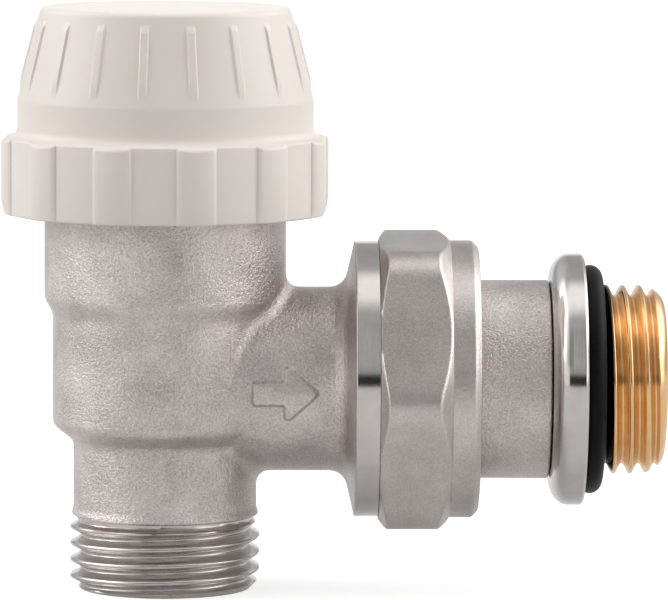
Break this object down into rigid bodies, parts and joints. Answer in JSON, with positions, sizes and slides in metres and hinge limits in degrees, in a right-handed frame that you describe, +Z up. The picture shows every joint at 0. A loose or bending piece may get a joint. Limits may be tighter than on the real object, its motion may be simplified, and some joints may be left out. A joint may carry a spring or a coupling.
{
  "type": "angled radiator valve",
  "caption": "Angled radiator valve: nickel-plated body with a threaded inlet below, a ribbed hand cap above and a union with a sealed brass nipple to the radiator.",
  "frame": {"origin": "centre of the inlet's end face, on the inlet bore's axis", "axes": "+Z up the inlet axis to the cap, +X along the outlet axis to the radiator"},
  "size_m": [0.0732, 0.0364, 0.0642],
  "materials": {
    "forged_nickel": "forged, blasted and nickel plated, satin",
    "turned_nickel": "turned and nickel plated, bright",
    "bare_brass": "turned, bare",
    "seal_rubber": "matt",
    "cap_plastic": "moulded, satin",
    "guide_plastic": "moulded",
    "spring_steel": "drawn"
  },
  "bodies": {
    "valve": {"valve_body": "forged_nickel", "insert_body": "bare_brass", "insert_oring": "seal_rubber", "gland_nut": "bare_brass", "gland_oring": "seal_rubber", "pin_guide": "guide_plastic", "return_spring": "spring_steel"},
    "stem": {"actuating_pin": "spring_steel", "shutter_stem": "bare_brass", "stem_clip": "spring_steel", "spring_plate": "bare_brass", "shutter_plate": "bare_brass", "shutter_seal": "seal_rubber", "seal_washer": "bare_brass"},
    "cap": {"hand_cap": "cap_plastic"},
    "tail": {"tail_sleeve": "forged_nickel", "seal_flange": "turned_nickel", "radiator_seal": "seal_rubber", "radiator_nipple": "bare_brass"},
    "nut": {"union_nut": "turned_nickel"}
  },
  "joints": [
    {"name": "stem_lift", "type": "slide", "parent": "valve", "child": "stem", "axis": [0, 0, 1], "range_m": [-0.0025, 0], "deforming": ["return_spring"]},
    {"name": "cap_turn", "type": "hinge", "parent": "stem", "child": "cap", "pos_m": [0, 0, 0.05], "axis": [0, 0, 1], "range_deg": [-599.9, 0]},
    {"name": "tail_draw", "type": "slide", "parent": "valve", "child": "tail", "axis": [1, 0, 0], "range_m": [0, 0.00726]},
    {"name": "nut_turn", "type": "hinge", "parent": "tail", "child": "nut", "pos_m": [0.029, 0, 0.0232], "axis": [1, 0, 0], "range_deg": [0, 1440]}
  ],
  "couplings": [
    {"joint": "stem_lift", "follows": "cap_turn", "m_per_rad": 0.00023873},
    {"joint": "tail_draw", "follows": "nut_turn", "m_per_rad": 0.00028871}
  ]
}
